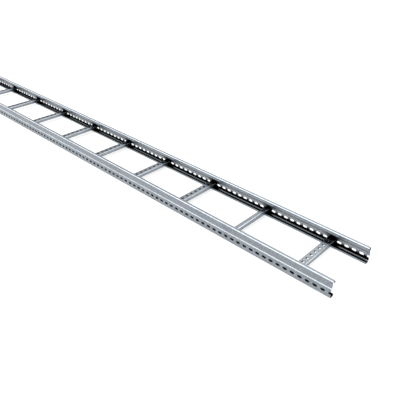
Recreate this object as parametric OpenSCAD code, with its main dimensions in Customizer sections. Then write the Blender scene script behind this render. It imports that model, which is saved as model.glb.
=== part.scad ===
// Cable ladder section: two roll-formed side rails with a slotted band, joined by
// channel rungs that are welded between them. +X runs along the ladder, +Y across it
// and +Z up. The origin is under the middle of the ladder, on the floor it lies on.

/* [Ladder] */
// Length of the section
ladder_l = 3000; // [1000:250:6000]
// Width over the outer faces of the slotted bands
ladder_w = 215; // [115:10:615]
// Distance from rung to rung
rung_pitch = 250; // [150:25:500]

/* [Side rail] */
// Height of a rail
rail_h = 59; // [52:1:120]
// Depth of a rail at its upper flange, from the slotted face to the lip
rail_d = 16; // [14:0.5:30]
// Depth of a rail at its lower flange
foot_d = 17; // [14:0.5:30]
// Thickness of the rail's sheet
rail_t = 1.5; // [1:0.25:2.5]
// Inner radius of the two bends of the upper flange
top_bend_r = 3; // [1:0.5:3.5]
// Inner radius of the two bends of the lower flange
foot_bend_r = 1.25; // [0.5:0.25:3]
// Inner radius of the bends of the band's ledges
ledge_bend_r = 0.75; // [0.5:0.25:1]
// Height of the slotted band, which stands out from the web
band_h = 27.5; // [22:0.25:31]
// How far the slotted band stands out from the web
band_step = 2.75; // [2:0.25:4]
// Straight height of the web between the lower flange's bend and the band's ledge
foot_flat = 0.5; // [0.5:0.25:4]
// Height of the lip that turns down from the upper flange
upper_lip_h = 10.5; // [6:0.5:14]
// Height of the lip that turns up from the lower flange
lower_lip_h = 8.5; // [5:0.5:11]

/* [Slots] */
// Length of a slot from end to end
slot_l = 15; // [10:0.5:18]
// Height of a slot
slot_h = 8; // [6:0.5:9.5]
// Distance from slot to slot
slot_pitch = 25; // [20:1:50]

/* [Rung] */
// Width of a perforated rung
rung_w = 26; // [20:0.5:50]
// Width of a plain rung
plain_rung_w = 18; // [14:0.5:40]
// Height of a rung
rung_h = 14.5; // [10:0.5:16]
// How far a rung reaches up past the middle of the slots
rung_rise = 6.75; // [6:0.25:9]
// Thickness of the rung's sheet
rung_t = 1.5; // [1:0.25:2.5]
// Inner radius of a perforated rung's bends
rung_bend_r = 1; // [0.5:0.25:2]
// Straight width of the two lips that turn in under a perforated rung
rung_lip_flat = 2; // [0.5:0.25:4]
// Inner radius of a plain rung's bends
plain_bend_r = 3; // [0.5:0.25:4]
// Diameter of the holes in a rung's top
hole_d = 9; // [6:0.5:13]
// Distance from hole to hole
hole_pitch = 21.5; // [15:0.5:50]

/* [Hidden] */
// Rungs with no holes, counted from the +X end
PLAIN_RUNGS = [2];
// How far the sheet turns from the band into each of its ledges
LEDGE_TURN = 45;
// How far a cutter reaches past each face of a sheet
CUT = 1;
// Sides of a round hole, and the largest step along a bend in degrees
HOLE_FN = 48;
BEND_STEP = 9;

steel = [0.72, 0.74, 0.77];

// Heights on the rail, from its underside up
foot_h = rail_t + foot_bend_r + foot_flat;
ledge_rise = band_step / tan(LEDGE_TURN);
band_low = foot_h + ledge_rise;
band_high = band_low + band_h;
slot_z = band_low + band_h / 2;

// How much closer to the band a ledge's corners lie on the sheet's middle line
ledge_shift = rail_t / 2 * tan(LEDGE_TURN / 2);

// Middle line of the rail's sheet: distance in from the slotted face, then height
rail_path = [
    [rail_d - rail_t / 2, rail_h - upper_lip_h],
    [rail_d - rail_t / 2, rail_h - rail_t / 2],
    [band_step + rail_t / 2, rail_h - rail_t / 2],
    [band_step + rail_t / 2, band_high + ledge_rise - ledge_shift],
    [rail_t / 2, band_high - ledge_shift],
    [rail_t / 2, band_low + ledge_shift],
    [band_step + rail_t / 2, foot_h + ledge_shift],
    [band_step + rail_t / 2, rail_t / 2],
    [foot_d - rail_t / 2, rail_t / 2],
    [foot_d - rail_t / 2, lower_lip_h],
];
// Inner radius of each bend along that line
rail_bends = [
    top_bend_r, top_bend_r,
    ledge_bend_r, ledge_bend_r, ledge_bend_r, ledge_bend_r,
    foot_bend_r, foot_bend_r,
];

// Rungs stand centred along the ladder, half a pitch in from its ends
rung_n = floor(ladder_l / rung_pitch);
rung_len = ladder_w - 2 * rail_t;
rung_low = slot_z + rung_rise - rung_h;
rung_lip_w = rung_t + rung_bend_r + rung_lip_flat;

// Slots are centred along the ladder, one of them at its middle
slot_side_n = floor((ladder_l / 2 + slot_l / 2) / slot_pitch);

// Holes fill the rung's top between the lips of the two rails
hole_n = floor((ladder_w - 2 * rail_d) / hole_pitch);

function rung_name(i) = str("rung_", i < 10 ? "0" : "", i);
function rung_x(i) = ((rung_n + 1) / 2 - i) * rung_pitch;
function is_plain(i) = len(search(i, PLAIN_RUNGS)) > 0;
// Middle line of a plain rung's sheet: distance along the ladder, then height
function channel_path(w) = [
    [(rung_t - w) / 2, 0],
    [(rung_t - w) / 2, rung_h - rung_t / 2],
    [(w - rung_t) / 2, rung_h - rung_t / 2],
    [(w - rung_t) / 2, 0],
];
// Middle line of a perforated rung's sheet, which ends in a lip on each side
function lipped_path(w) = [
    [rung_lip_w - w / 2, rung_t / 2],
    [(rung_t - w) / 2, rung_t / 2],
    [(rung_t - w) / 2, rung_h - rung_t / 2],
    [(w - rung_t) / 2, rung_h - rung_t / 2],
    [(w - rung_t) / 2, rung_t / 2],
    [w / 2 - rung_lip_w, rung_t / 2],
];

// Unit vector to the left of a heading
function left_of(angle) = [-sin(angle), cos(angle)];
// Heading of the run from one point of a path to the next, and the turn at a point
function heading(path, i) = atan2(path[i + 1].y - path[i].y, path[i + 1].x - path[i].x);
function full_turn(path, i) = heading(path, i) - heading(path, i - 1);
function turn(path, i) = full_turn(path, i) - 360 * round(full_turn(path, i) / 360);
// Centre of the bend at a point; r is its radius on the sheet's middle line
function bend_centre(path, i, r) =
    let (before = heading(path, i - 1), setback = r * tan(abs(turn(path, i)) / 2))
    path[i] - setback * [cos(before), sin(before)] + sign(turn(path, i)) * r * left_of(before);
// Arc of a bend on the face that lies a distance to the left of the middle line
function bend_arc(path, i, left, r) =
    let (angle = turn(path, i), steps = ceil(abs(angle) / BEND_STEP))
    [
        for (k = [0 : steps])
            bend_centre(path, i, r)
            + (left - sign(angle) * r) * left_of(heading(path, i - 1) + angle * k / steps)
    ];
// One face of a bent sheet, from its first edge to its last; radii are on the middle line
function sheet_face(path, left, radii) =
    let (last = len(path) - 1)
    [
        path[0] + left * left_of(heading(path, 0)),
        for (i = [1 : last - 1]) each bend_arc(path, i, left, radii[i - 1]),
        path[last] + left * left_of(heading(path, last - 1)),
    ];
function reversed(list) = [for (i = [len(list) - 1 : -1 : 0]) list[i]];

// Cross-section of a sheet bent along a path, with the inner radius of each bend
module bent_sheet(path, t, bends) {
    radii = [for (r = bends) r + t / 2];
    polygon(concat(
        sheet_face(path, t / 2, radii),
        reversed(sheet_face(path, -t / 2, radii))
    ));
}

// Cutter for one slot with round ends, through the slotted band
module slot_cutter() {
    round_x = slot_l / 2 - slot_h / 2;
    rotate([90, 0, 0])
        linear_extrude(rail_t + 2 * CUT, center = true) {
            square([2 * round_x, slot_h], center = true);
            for (side = [-1, 1])
                translate([side * round_x, 0])
                    circle(d = slot_h, $fn = HOLE_FN);
        }
}

// Rail at the -Y side: an open section with its lips to the inside
module rail() {
    color(steel)
        difference() {
            translate([-ladder_l / 2, -ladder_w / 2, 0])
                rotate([90, 0, 90])
                linear_extrude(ladder_l)
                bent_sheet(rail_path, rail_t, rail_bends);
            for (i = [-slot_side_n : slot_side_n])
                translate([i * slot_pitch, (rail_t - ladder_w) / 2, slot_z])
                    slot_cutter();
        }
}

module rail_left() {
    rail();
}

module rail_right() {
    mirror([0, 1, 0])
        rail();
}

// Rung along a path, open below, with its ends against the inside of the two bands
module rung_body(path, bend_r) {
    rotate([90, 0, 0])
        linear_extrude(rung_len, center = true)
        bent_sheet(path, rung_t, [for (i = [1 : len(path) - 2]) bend_r]);
}

module perforated_rung() {
    difference() {
        rung_body(lipped_path(rung_w), rung_bend_r);
        for (k = [0 : hole_n - 1])
            translate([0, (k - (hole_n - 1) / 2) * hole_pitch, rung_h - rung_t - CUT])
                cylinder(h = rung_t + 2 * CUT, d = hole_d, $fn = HOLE_FN);
    }
}

module rung(i) {
    color(steel)
        translate([rung_x(i), 0, rung_low])
        if (is_plain(i))
            rung_body(channel_path(plain_rung_w), plain_bend_r);
        else
            perforated_rung();
}

rail_left();
rail_right();
for (i = [1 : rung_n])
    rung(i);
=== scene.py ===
"""Looks of a cable ladder section: galvanised steel, its welds, a white studio and the camera."""

import math

import bmesh
import bpy
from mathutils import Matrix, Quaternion, Vector, noise


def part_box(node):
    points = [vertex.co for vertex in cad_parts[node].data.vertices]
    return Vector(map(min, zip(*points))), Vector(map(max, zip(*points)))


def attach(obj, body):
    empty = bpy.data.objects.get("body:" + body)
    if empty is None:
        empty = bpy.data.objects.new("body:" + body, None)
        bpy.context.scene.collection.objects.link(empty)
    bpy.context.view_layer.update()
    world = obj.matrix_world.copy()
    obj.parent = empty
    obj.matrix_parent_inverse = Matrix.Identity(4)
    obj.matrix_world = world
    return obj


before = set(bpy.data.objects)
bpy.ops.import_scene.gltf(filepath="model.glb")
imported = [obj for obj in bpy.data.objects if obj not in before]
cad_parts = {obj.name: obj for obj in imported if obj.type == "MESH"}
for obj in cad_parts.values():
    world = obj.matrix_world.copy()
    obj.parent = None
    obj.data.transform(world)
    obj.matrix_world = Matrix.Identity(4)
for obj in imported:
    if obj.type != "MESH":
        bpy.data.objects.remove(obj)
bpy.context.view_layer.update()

MM = 0.001
# Thickness of the sheet that the rails and the rungs are bent from
SHEET = 1.5 * MM
X, Y, Z = 0, 1, 2

# Camera, from the photo's two rows of slots, which run along the ladder an even pitch apart
CAMERA_PLACE = Vector((1.9002, -1.0005, 0.8993))
CAMERA_TARGET = Vector((0.9889, -0.0351, 0.0199))
CAMERA_ROLL = math.radians(0.105)
CAMERA_LENS_MM = 40.38
CAMERA_SENSOR_MM = 36.0
CAMERA_REACH = 100.0

WHITE = (1.0, 1.0, 1.0, 1.0)

# Zinc coating, as linear colours: its mottle runs from dark to light
ZINC_DARK = (0.236, 0.259, 0.282, 1.0)
ZINC_LIGHT = (0.372, 0.407, 0.444, 1.0)
# Near-black of the painted shade in recesses, also the dark end of the welds' spatter
SHADE_AND_SPATTER_BLACK = (0.002, 0.002, 0.002, 1.0)
ZINC_SHEARED = (0.300, 0.305, 0.315, 1.0)
# Near-black of the walls of slots and holes: partly bare cut steel, partly painted shade in the openings
PUNCHED_WALL_SHADE = (0.030, 0.031, 0.032, 1.0)
SPANGLE_PER_M = 240.0
# The crystals' borders wander this often and this far
WANDER_PER_M = 384.0
WANDER = 1.6 * MM
ROLL_LINES_PER_M = 420.0
ROLL_LINES_ALONG_PER_M = 2.0
CLOUDS_PER_M = 14.0
GRAIN_PER_M = 1500.0
# Least and greatest sum of crystals, lines and clouds, and the roughness that they give
MOTTLE = (0.7, 2.3)
ROUGHNESS = (0.17, 0.27)
RELIEF_STRENGTH = 0.12
RELIEF_DEPTH = 0.12 * MM
EDGE_ROUNDING = 0.35 * MM
EDGE_SAMPLES = 4

# A face looks along an axis, across it or upwards by these shares of its normal
FACES_ALONG = 0.9
FACES_ACROSS = 0.1
FACES_UP = 0.1

# Painted shade in recesses, by how open a place is within a reach: from near-black to clean zinc
RECESS_REACH = 24 * MM
RECESS_SAMPLES = 32
RECESS_RANGE = (0.62, 0.91)
RECESS_POWER = 3.0
# How open the deepest and the less deep recesses are, and the share of clean zinc and its reflection that
# the painted shade leaves in them
RECESS_DEPTH = (0.575, 0.62)
RECESS_LEFT_UNSHADED = (0.0, 0.16)

# Heights of the painted shade on a rail's foot: its bottom, and a rim that fades in up its lip
FOOT_BOTTOM = 4.0 * MM
LIP_RIM = (6.6 * MM, 8.3 * MM)
RIM_SHADE = 0.97
# The lip is what lies below this height and no farther out than its sheet and a little more
FOOT_TOP = 16.0 * MM
LIP_CLEAR = 0.1 * MM

# Weld beads between the sides of the rungs and the rails
WELD_TINT = (0.165, 0.172, 0.182, 1.0)
WELD_SPATTER = (0.3, 0.7)
WELD_ROUGHNESS = (0.38, 0.58)
WELD_RELIEF_STRENGTH = 0.3
WELD_RELIEF_DEPTH = 0.15 * MM
WELD_LEG = 2.0 * MM
WELD_SINK = 0.15 * MM
WELD_CLEAR = 2.8 * MM
WELD_RINGS = 26
WELD_POINTS = 7
# Shape of a bead, as shares of its leg: its ends, ripples, unevenness and flatter middle
WELD_END = 0.35
WELD_RIPPLES = 7
WELD_RIPPLE = 0.07
WELD_UNEVEN = 0.22
WELD_UNEVEN_WAVES = 5.0
WELD_FLATTER = 0.16

# Studio
FLOOR_SIZE = 60.0
FLOOR_COLOR = (0.80, 0.80, 0.80, 1.0)
FLOOR_GLOW = 0.72
FLOOR_GLOW_IN_METAL = 0.38
WORLD_SEEN = 1.0
WORLD_FILL = 0.45
KEY_FROM = Vector((-0.30, -0.35, 0.89))
KEY_STRENGTH = 1.2
KEY_SPREAD = 60.0

# What the metal sees of the studio, by the direction in which it looks. Its walls brighten from
# the far end to the near one, and are darker on the camera's side.
WALL_LIGHT = (0.46, 1.42)
WALL_REACH = (-0.9, -0.35)
WALL_NEAR_SIDE = 0.35
WALL_SIDES = (-0.2, 0.3)
# A long softbox over the camera's side, bright to some degrees from its middle and dark past some
# more; its glare falls from the far end to the near one
LONG_BOX_LIGHT = (3.3, 2.35)
LONG_BOX_REACH = (-0.76, -0.6)
LONG_BOX_ANGLE = 62.0
LONG_BOX_DARK = 50.0
LONG_BOX_BRIGHT = 38.0
# A softbox past the near end
END_BOX_LIGHT = 3.6
END_BOX_REACH = (-0.3, 0.5)


def feed(tree, socket, value):
    """Sets an input to a value, or links it to the socket that feeds it."""
    if isinstance(value, bpy.types.NodeSocket):
        tree.links.new(value, socket)
    else:
        socket.default_value = value


def add_node(tree, kind, inputs=None, **settings):
    """Adds a shader node, with its inputs by name or number."""
    made = tree.nodes.new(kind)
    for name, value in settings.items():
        setattr(made, name, value)
    for name, value in (inputs or {}).items():
        feed(tree, made.inputs[name], value)
    return made


def new_material(name):
    """A material with an empty node tree."""
    material = bpy.data.materials.new(name)
    material.use_nodes = True
    material.node_tree.nodes.clear()
    return material


def map_range(tree, value, low, high, to_low, to_high):
    """Maps a range of values evenly on another one, and clamps to it."""
    ranged = add_node(tree, "ShaderNodeMapRange", {
        "Value": value, "From Min": low, "From Max": high, "To Min": to_low, "To Max": to_high,
    })
    return ranged.outputs["Result"]


def mix_color(tree, factor, first, second):
    """Mixes two colours; the sockets are numbered, because several share a name."""
    mixed = add_node(tree, "ShaderNodeMix", {0: factor, 6: first, 7: second}, data_type="RGBA")
    return mixed.outputs[2]


def math_node(tree, operation, first, second=0.0):
    """One step of arithmetic."""
    return add_node(tree, "ShaderNodeMath", {0: first, 1: second}, operation=operation).outputs[0]


def vector_part(tree, vector, axis):
    """One of a vector's three parts."""
    return add_node(tree, "ShaderNodeSeparateXYZ", {"Vector": vector}).outputs[axis]


def normal_part(tree, axis):
    """How far a face looks along an axis, from -1 to 1."""
    return vector_part(tree, add_node(tree, "ShaderNodeNewGeometry").outputs["True Normal"], axis)


def noise_value(tree, place, scale, detail=2.0):
    """Plain noise with an average of about a half."""
    return add_node(tree, "ShaderNodeTexNoise", {
        "Vector": place, "Scale": scale, "Detail": detail,
    }).outputs["Fac"]


def spangle_tone(tree, place):
    """Zinc crystals: every cell has a tone of its own, and its borders wander."""
    wander = add_node(tree, "ShaderNodeTexNoise", {
        "Vector": place, "Scale": WANDER_PER_M, "Detail": 3.0,
    })
    warped = add_node(tree, "ShaderNodeVectorMath", {
        0: wander.outputs["Color"], 1: (WANDER,) * 3, 2: place,
    }, operation="MULTIPLY_ADD")
    cells = add_node(tree, "ShaderNodeTexVoronoi", {
        "Vector": warped.outputs[0], "Scale": SPANGLE_PER_M,
    })
    return add_node(tree, "ShaderNodeSeparateColor", {"Color": cells.outputs["Color"]}).outputs[0]


def roll_lines(tree, place, axis):
    """Faint scratches along the direction in which the sheet ran through the rolls."""
    stretch = [ROLL_LINES_PER_M] * 3
    stretch[axis] = ROLL_LINES_ALONG_PER_M
    drawn = add_node(tree, "ShaderNodeMapping", {"Vector": place, "Scale": stretch})
    return noise_value(tree, drawn.outputs[0], 1.0, 3.0)


def painted_recess_shade(tree):
    """1 on open surfaces, falling to 0 in narrow recesses: a painted shade for their colour and
    reflection.
    """
    recess = add_node(tree, "ShaderNodeAmbientOcclusion", {
        "Distance": RECESS_REACH,
    }, samples=RECESS_SAMPLES)
    ramp = map_range(tree, recess.outputs["AO"], *RECESS_RANGE, 0.0, 1.0)
    left_unshaded = map_range(tree, recess.outputs["AO"], *RECESS_DEPTH, *RECESS_LEFT_UNSHADED)
    return map_range(tree, math_node(tree, "POWER", ramp, RECESS_POWER), 0.0, 1.0, left_unshaded, 1.0)


def punched_edge(tree, place, axis, low, high):
    """1 on the walls of slots and holes that were punched along an axis between two heights."""
    level = vector_part(tree, place, Z)
    wall = math_node(tree, "LESS_THAN", math_node(tree, "ABSOLUTE", normal_part(tree, axis)), FACES_ACROSS)
    above = math_node(tree, "GREATER_THAN", level, low)
    below = math_node(tree, "LESS_THAN", level, high)
    return math_node(tree, "MULTIPLY", wall, math_node(tree, "MULTIPLY", above, below))


def cut_face(tree, axis):
    """1 on the sheared faces that look along an axis, 0 elsewhere."""
    along = math_node(tree, "ABSOLUTE", normal_part(tree, axis))
    return math_node(tree, "GREATER_THAN", along, FACES_ALONG)


def painted_foot_shade(tree, place):
    """Painted shade on a rail's foot: whole where it faces up from its bottom, and along its lip's rim."""
    across = math_node(tree, "ABSOLUTE", vector_part(tree, place, Y))
    level = vector_part(tree, place, Z)
    low = math_node(tree, "LESS_THAN", level, FOOT_BOTTOM)
    upward = math_node(tree, "GREATER_THAN", normal_part(tree, Z), FACES_UP)
    bottom = math_node(tree, "MULTIPLY", low, upward)
    lip_depth = abs(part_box("rail_left")[1].y) + SHEET + LIP_CLEAR
    on_lip = math_node(tree, "LESS_THAN", across, lip_depth)
    on_foot = math_node(tree, "LESS_THAN", level, FOOT_TOP)
    rim = map_range(tree, level, *LIP_RIM, 0.0, RIM_SHADE)
    rim = math_node(tree, "MULTIPLY", rim, math_node(tree, "MULTIPLY", on_lip, on_foot))
    return math_node(tree, "MAXIMUM", bottom, rim)


def galvanised_steel(name, roll_axis, punch_axis, punch_low, punch_high, shade_foot=False):
    """Zinc-coated sheet: rolled along one axis, sheared off at its ends and punched along another."""
    material = new_material(name)
    tree = material.node_tree
    place = add_node(tree, "ShaderNodeTexCoord").outputs["Object"]
    crystals = spangle_tone(tree, place)
    lines = roll_lines(tree, place, roll_axis)
    clouds = noise_value(tree, place, CLOUDS_PER_M, 4.0)
    grain = noise_value(tree, place, GRAIN_PER_M)

    mottle = math_node(tree, "ADD", math_node(tree, "ADD", crystals, lines), clouds)
    zinc = mix_color(tree, map_range(tree, mottle, *MOTTLE, 0.0, 1.0), ZINC_DARK, ZINC_LIGHT)
    # Painted shade: the walls of slots and holes go near-black, partly for their bare cut steel
    punched = punched_edge(tree, place, punch_axis, punch_low, punch_high)
    zinc = mix_color(tree, punched, zinc, PUNCHED_WALL_SHADE)
    zinc = mix_color(tree, cut_face(tree, roll_axis), zinc, ZINC_SHEARED)
    unshaded_share = painted_recess_shade(tree)
    # Painted shade on a rail's foot: its bottom, and a rim up its lip
    if shade_foot:
        kept = math_node(tree, "SUBTRACT", 1.0, painted_foot_shade(tree, place))
        unshaded_share = math_node(tree, "MULTIPLY", unshaded_share, kept)

    relief = math_node(tree, "ADD", math_node(tree, "ADD", grain, lines), crystals)
    rounded = add_node(tree, "ShaderNodeBevel", {"Radius": EDGE_ROUNDING}, samples=EDGE_SAMPLES)
    bump = add_node(tree, "ShaderNodeBump", {
        "Height": relief,
        "Strength": RELIEF_STRENGTH,
        "Distance": RELIEF_DEPTH,
        "Normal": rounded.outputs[0],
    })
    # Painted shade: in recesses, and on a rail's shaded foot, the base colour and the reflection's tint go
    # to near-black
    shader = add_node(tree, "ShaderNodeBsdfPrincipled", {
        "Base Color": mix_color(tree, unshaded_share, SHADE_AND_SPATTER_BLACK, zinc),
        "Metallic": 1.0,
        "Specular Tint": mix_color(tree, unshaded_share, SHADE_AND_SPATTER_BLACK, WHITE),
        "Roughness": map_range(tree, mottle, *MOTTLE, *ROUGHNESS),
        "Normal": bump.outputs[0],
    })
    add_node(tree, "ShaderNodeOutputMaterial", {"Surface": shader.outputs[0]})
    return material


def weld_metal():
    """Rough weld metal under the zinc, duller than the sheet."""
    material = new_material("weld_metal")
    tree = material.node_tree
    place = add_node(tree, "ShaderNodeTexCoord").outputs["Object"]
    spatter = noise_value(tree, place, GRAIN_PER_M, 4.0)
    tint = mix_color(tree, spatter, SHADE_AND_SPATTER_BLACK, WELD_TINT)
    bump = add_node(tree, "ShaderNodeBump", {
        "Height": spatter, "Strength": WELD_RELIEF_STRENGTH, "Distance": WELD_RELIEF_DEPTH,
    })
    # Painted shade: the beads' colour goes to near-black in recesses
    shader = add_node(tree, "ShaderNodeBsdfPrincipled", {
        "Base Color": mix_color(tree, painted_recess_shade(tree), SHADE_AND_SPATTER_BLACK, tint),
        "Metallic": 1.0,
        "Roughness": map_range(tree, spatter, *WELD_SPATTER, *WELD_ROUGHNESS),
        "Normal": bump.outputs[0],
    })
    add_node(tree, "ShaderNodeOutputMaterial", {"Surface": shader.outputs[0]})
    return material


def weld_leg(along, seed):
    """Size of a bead at a share of its length: ends that run out, ripples and unevenness."""
    run_out = WELD_END + (1.0 - WELD_END) * math.sqrt(max(0.0, math.sin(math.pi * along)))
    ripple = 1.0 + WELD_RIPPLE * math.sin(2.0 * math.pi * WELD_RIPPLES * along + seed)
    uneven = 1.0 + WELD_UNEVEN * noise.noise(Vector((along * WELD_UNEVEN_WAVES, seed, 0.0)))
    return WELD_LEG * run_out * ripple * uneven


def weld_ring(bead, corner, out, leg):
    """One section of a fillet bead: a point inside the corner, then the bead's bulging face."""
    inside = corner - out * WELD_SINK
    ring = [bead.verts.new(inside)]
    for step in range(WELD_POINTS):
        angle = 0.5 * math.pi * step / (WELD_POINTS - 1)
        reach = leg * (1.0 - WELD_FLATTER * math.sin(2.0 * angle)) + WELD_SINK
        way = Vector((out.x * math.cos(angle), out.y * math.sin(angle), 0.0))
        ring.append(bead.verts.new(inside + way * reach))
    return ring


def add_bead(bead, foot, head, out, seed):
    """A fillet bead up a corner, from foot to head; out points away from both of its faces."""
    rings = []
    for step in range(WELD_RINGS):
        along = step / (WELD_RINGS - 1)
        rings.append(weld_ring(bead, foot.lerp(head, along), out, weld_leg(along, seed)))
    bead.faces.new(rings[0])
    bead.faces.new(rings[-1])
    for lower, upper in zip(rings, rings[1:]):
        for a in range(len(lower)):
            b = (a + 1) % len(lower)
            bead.faces.new((lower[a], lower[b], upper[b], upper[a]))


def weld_rail(name, rail, material):
    """The beads that hold every rung to one rail, as one piece; each bead has its own seed."""
    low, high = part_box(rail)
    side = 1.0 if high.y > 0.0 else -1.0
    seat = (high.y if side > 0.0 else low.y) - side * SHEET
    bead = bmesh.new()
    rungs = [node for node in sorted(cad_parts) if node.startswith("rung")]
    for count, rung in enumerate(rungs):
        start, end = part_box(rung)
        for face, out_x in ((start.x, -1.0), (end.x, 1.0)):
            foot = Vector((face, seat, start.z + WELD_CLEAR))
            head = Vector((face, seat, end.z - WELD_CLEAR))
            seed = count + 0.4 * out_x + 20.0 * side
            add_bead(bead, foot, head, Vector((out_x, -side, 0.0)), seed)
    bmesh.ops.recalc_face_normals(bead, faces=bead.faces)
    mesh = bpy.data.meshes.new(name)
    bead.to_mesh(mesh)
    bead.free()
    mesh.shade_smooth()
    mesh.materials.append(material)
    welds = bpy.data.objects.new(name, mesh)
    bpy.context.scene.collection.objects.link(welds)
    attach(welds, "root")


def reflected_rays(tree, path):
    """1 for the rays that metal reflects and glass lets through."""
    return math_node(tree, "MAXIMUM", path.outputs["Is Glossy Ray"], path.outputs["Is Transmission Ray"])


def make_floor():
    """A pale floor that glows a little, so that it looks white and still takes a faint shadow."""
    bpy.ops.mesh.primitive_plane_add(size=FLOOR_SIZE)
    floor = bpy.context.object
    floor.name = "floor"
    material = new_material("floor_white")
    tree = material.node_tree
    path = add_node(tree, "ShaderNodeLightPath")
    in_metal = math_node(tree, "MULTIPLY", reflected_rays(tree, path), FLOOR_GLOW_IN_METAL)
    in_camera = math_node(tree, "MULTIPLY", path.outputs["Is Camera Ray"], FLOOR_GLOW)
    paint = add_node(tree, "ShaderNodeBsdfDiffuse", {"Color": FLOOR_COLOR})
    glow = add_node(tree, "ShaderNodeEmission", {
        "Color": WHITE, "Strength": math_node(tree, "MAXIMUM", in_metal, in_camera),
    })
    both = add_node(tree, "ShaderNodeAddShader", {0: paint.outputs[0], 1: glow.outputs[0]})
    add_node(tree, "ShaderNodeOutputMaterial", {"Surface": both.outputs[0]})
    floor.data.materials.append(material)
    floor.visible_shadow = False


def wall_light(tree, toward):
    """Brightness of the studio's walls, by the direction in which the metal looks."""
    along = map_range(tree, vector_part(tree, toward, X), *WALL_REACH, *WALL_LIGHT)
    side = map_range(tree, vector_part(tree, toward, Y), *WALL_SIDES, WALL_NEAR_SIDE, 1.0)
    return math_node(tree, "MULTIPLY", along, side)


def long_box_light(tree, toward):
    """Brightness of the long softbox, by the angle around the ladder's axis."""
    around = add_node(tree, "ShaderNodeCombineXYZ", {
        "Y": vector_part(tree, toward, Y), "Z": vector_part(tree, toward, Z),
    })
    around = add_node(tree, "ShaderNodeVectorMath", {0: around.outputs[0]}, operation="NORMALIZE")
    middle = math.radians(LONG_BOX_ANGLE)
    near = add_node(tree, "ShaderNodeVectorMath", {
        0: around.outputs[0], 1: (0.0, -math.cos(middle), math.sin(middle)),
    }, operation="DOT_PRODUCT")
    dark = math.cos(math.radians(LONG_BOX_DARK))
    bright = math.cos(math.radians(LONG_BOX_BRIGHT))
    glare = map_range(tree, vector_part(tree, toward, X), *LONG_BOX_REACH, *LONG_BOX_LIGHT)
    return map_range(tree, near.outputs["Value"], dark, bright, 0.0, glare)


def studio_light(tree):
    """Brightness of the studio by direction, as the metal sees it."""
    toward = add_node(tree, "ShaderNodeTexCoord").outputs["Generated"]
    end_box = map_range(tree, vector_part(tree, toward, X), *END_BOX_REACH, 0.0, END_BOX_LIGHT)
    boxes = math_node(tree, "MAXIMUM", long_box_light(tree, toward), end_box)
    return math_node(tree, "MAXIMUM", boxes, wall_light(tree, toward))


def make_world():
    """White for the rays that show a background, plain light for the rest, and boxes for metal."""
    world = bpy.data.worlds.new("studio")
    world.use_nodes = True
    tree = world.node_tree
    tree.nodes.clear()
    path = add_node(tree, "ShaderNodeLightPath")
    seen = math_node(tree, "MAXIMUM", path.outputs["Is Camera Ray"], reflected_rays(tree, path))
    plain = map_range(tree, seen, 0.0, 1.0, WORLD_FILL, WORLD_SEEN)
    strength = add_node(tree, "ShaderNodeMix", {
        0: path.outputs["Is Glossy Ray"], 2: plain, 3: studio_light(tree),
    })
    light = add_node(tree, "ShaderNodeBackground", {"Color": WHITE, "Strength": strength.outputs[0]})
    add_node(tree, "ShaderNodeOutputWorld", {"Surface": light.outputs[0]})
    bpy.context.scene.world = world


def make_key_lamp():
    """A soft lamp far away, so that it lights the ladder alike from end to end."""
    light = bpy.data.lights.new("key_lamp", "SUN")
    light.energy = KEY_STRENGTH
    light.angle = math.radians(KEY_SPREAD)
    lamp = bpy.data.objects.new("key_lamp", light)
    lamp.rotation_euler = (-KEY_FROM).to_track_quat("-Z", "Y").to_euler()
    bpy.context.scene.collection.objects.link(lamp)


def make_camera():
    """The photo's camera."""
    data = bpy.data.cameras.new("camera")
    data.sensor_fit = "HORIZONTAL"
    data.sensor_width = CAMERA_SENSOR_MM
    data.lens = CAMERA_LENS_MM
    data.clip_end = CAMERA_REACH
    camera = bpy.data.objects.new("camera", data)
    camera.location = CAMERA_PLACE
    aim = (CAMERA_TARGET - CAMERA_PLACE).to_track_quat("-Z", "Y")
    camera.rotation_euler = (aim @ Quaternion((0.0, 0.0, 1.0), CAMERA_ROLL)).to_euler()
    bpy.context.scene.collection.objects.link(camera)
    bpy.context.scene.camera = camera


def dress_cad_nodes():
    """Rails are rolled along X with slots through their sides, rungs along Y with holes from above."""
    rail_low, rail_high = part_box("rail_left")
    rung_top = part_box("rung_01")[1].z
    slots_low = rail_low.z + 2 * SHEET
    slots_high = rail_high.z - 2 * SHEET
    rail_steel = galvanised_steel("galvanised_rail", X, Y, slots_low, slots_high, shade_foot=True)
    rung_steel = galvanised_steel("galvanised_rung", Y, Z, rung_top - SHEET, rung_top)
    for name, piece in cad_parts.items():
        piece.data.materials.clear()
        piece.data.materials.append(rail_steel if name.startswith("rail") else rung_steel)


dress_cad_nodes()
weld = weld_metal()
weld_rail("weld_beads_left", "rail_left", weld)
weld_rail("weld_beads_right", "rail_right", weld)
make_floor()
make_world()
make_key_lamp()
make_camera()
bpy.context.scene.view_settings.view_transform = "Standard"
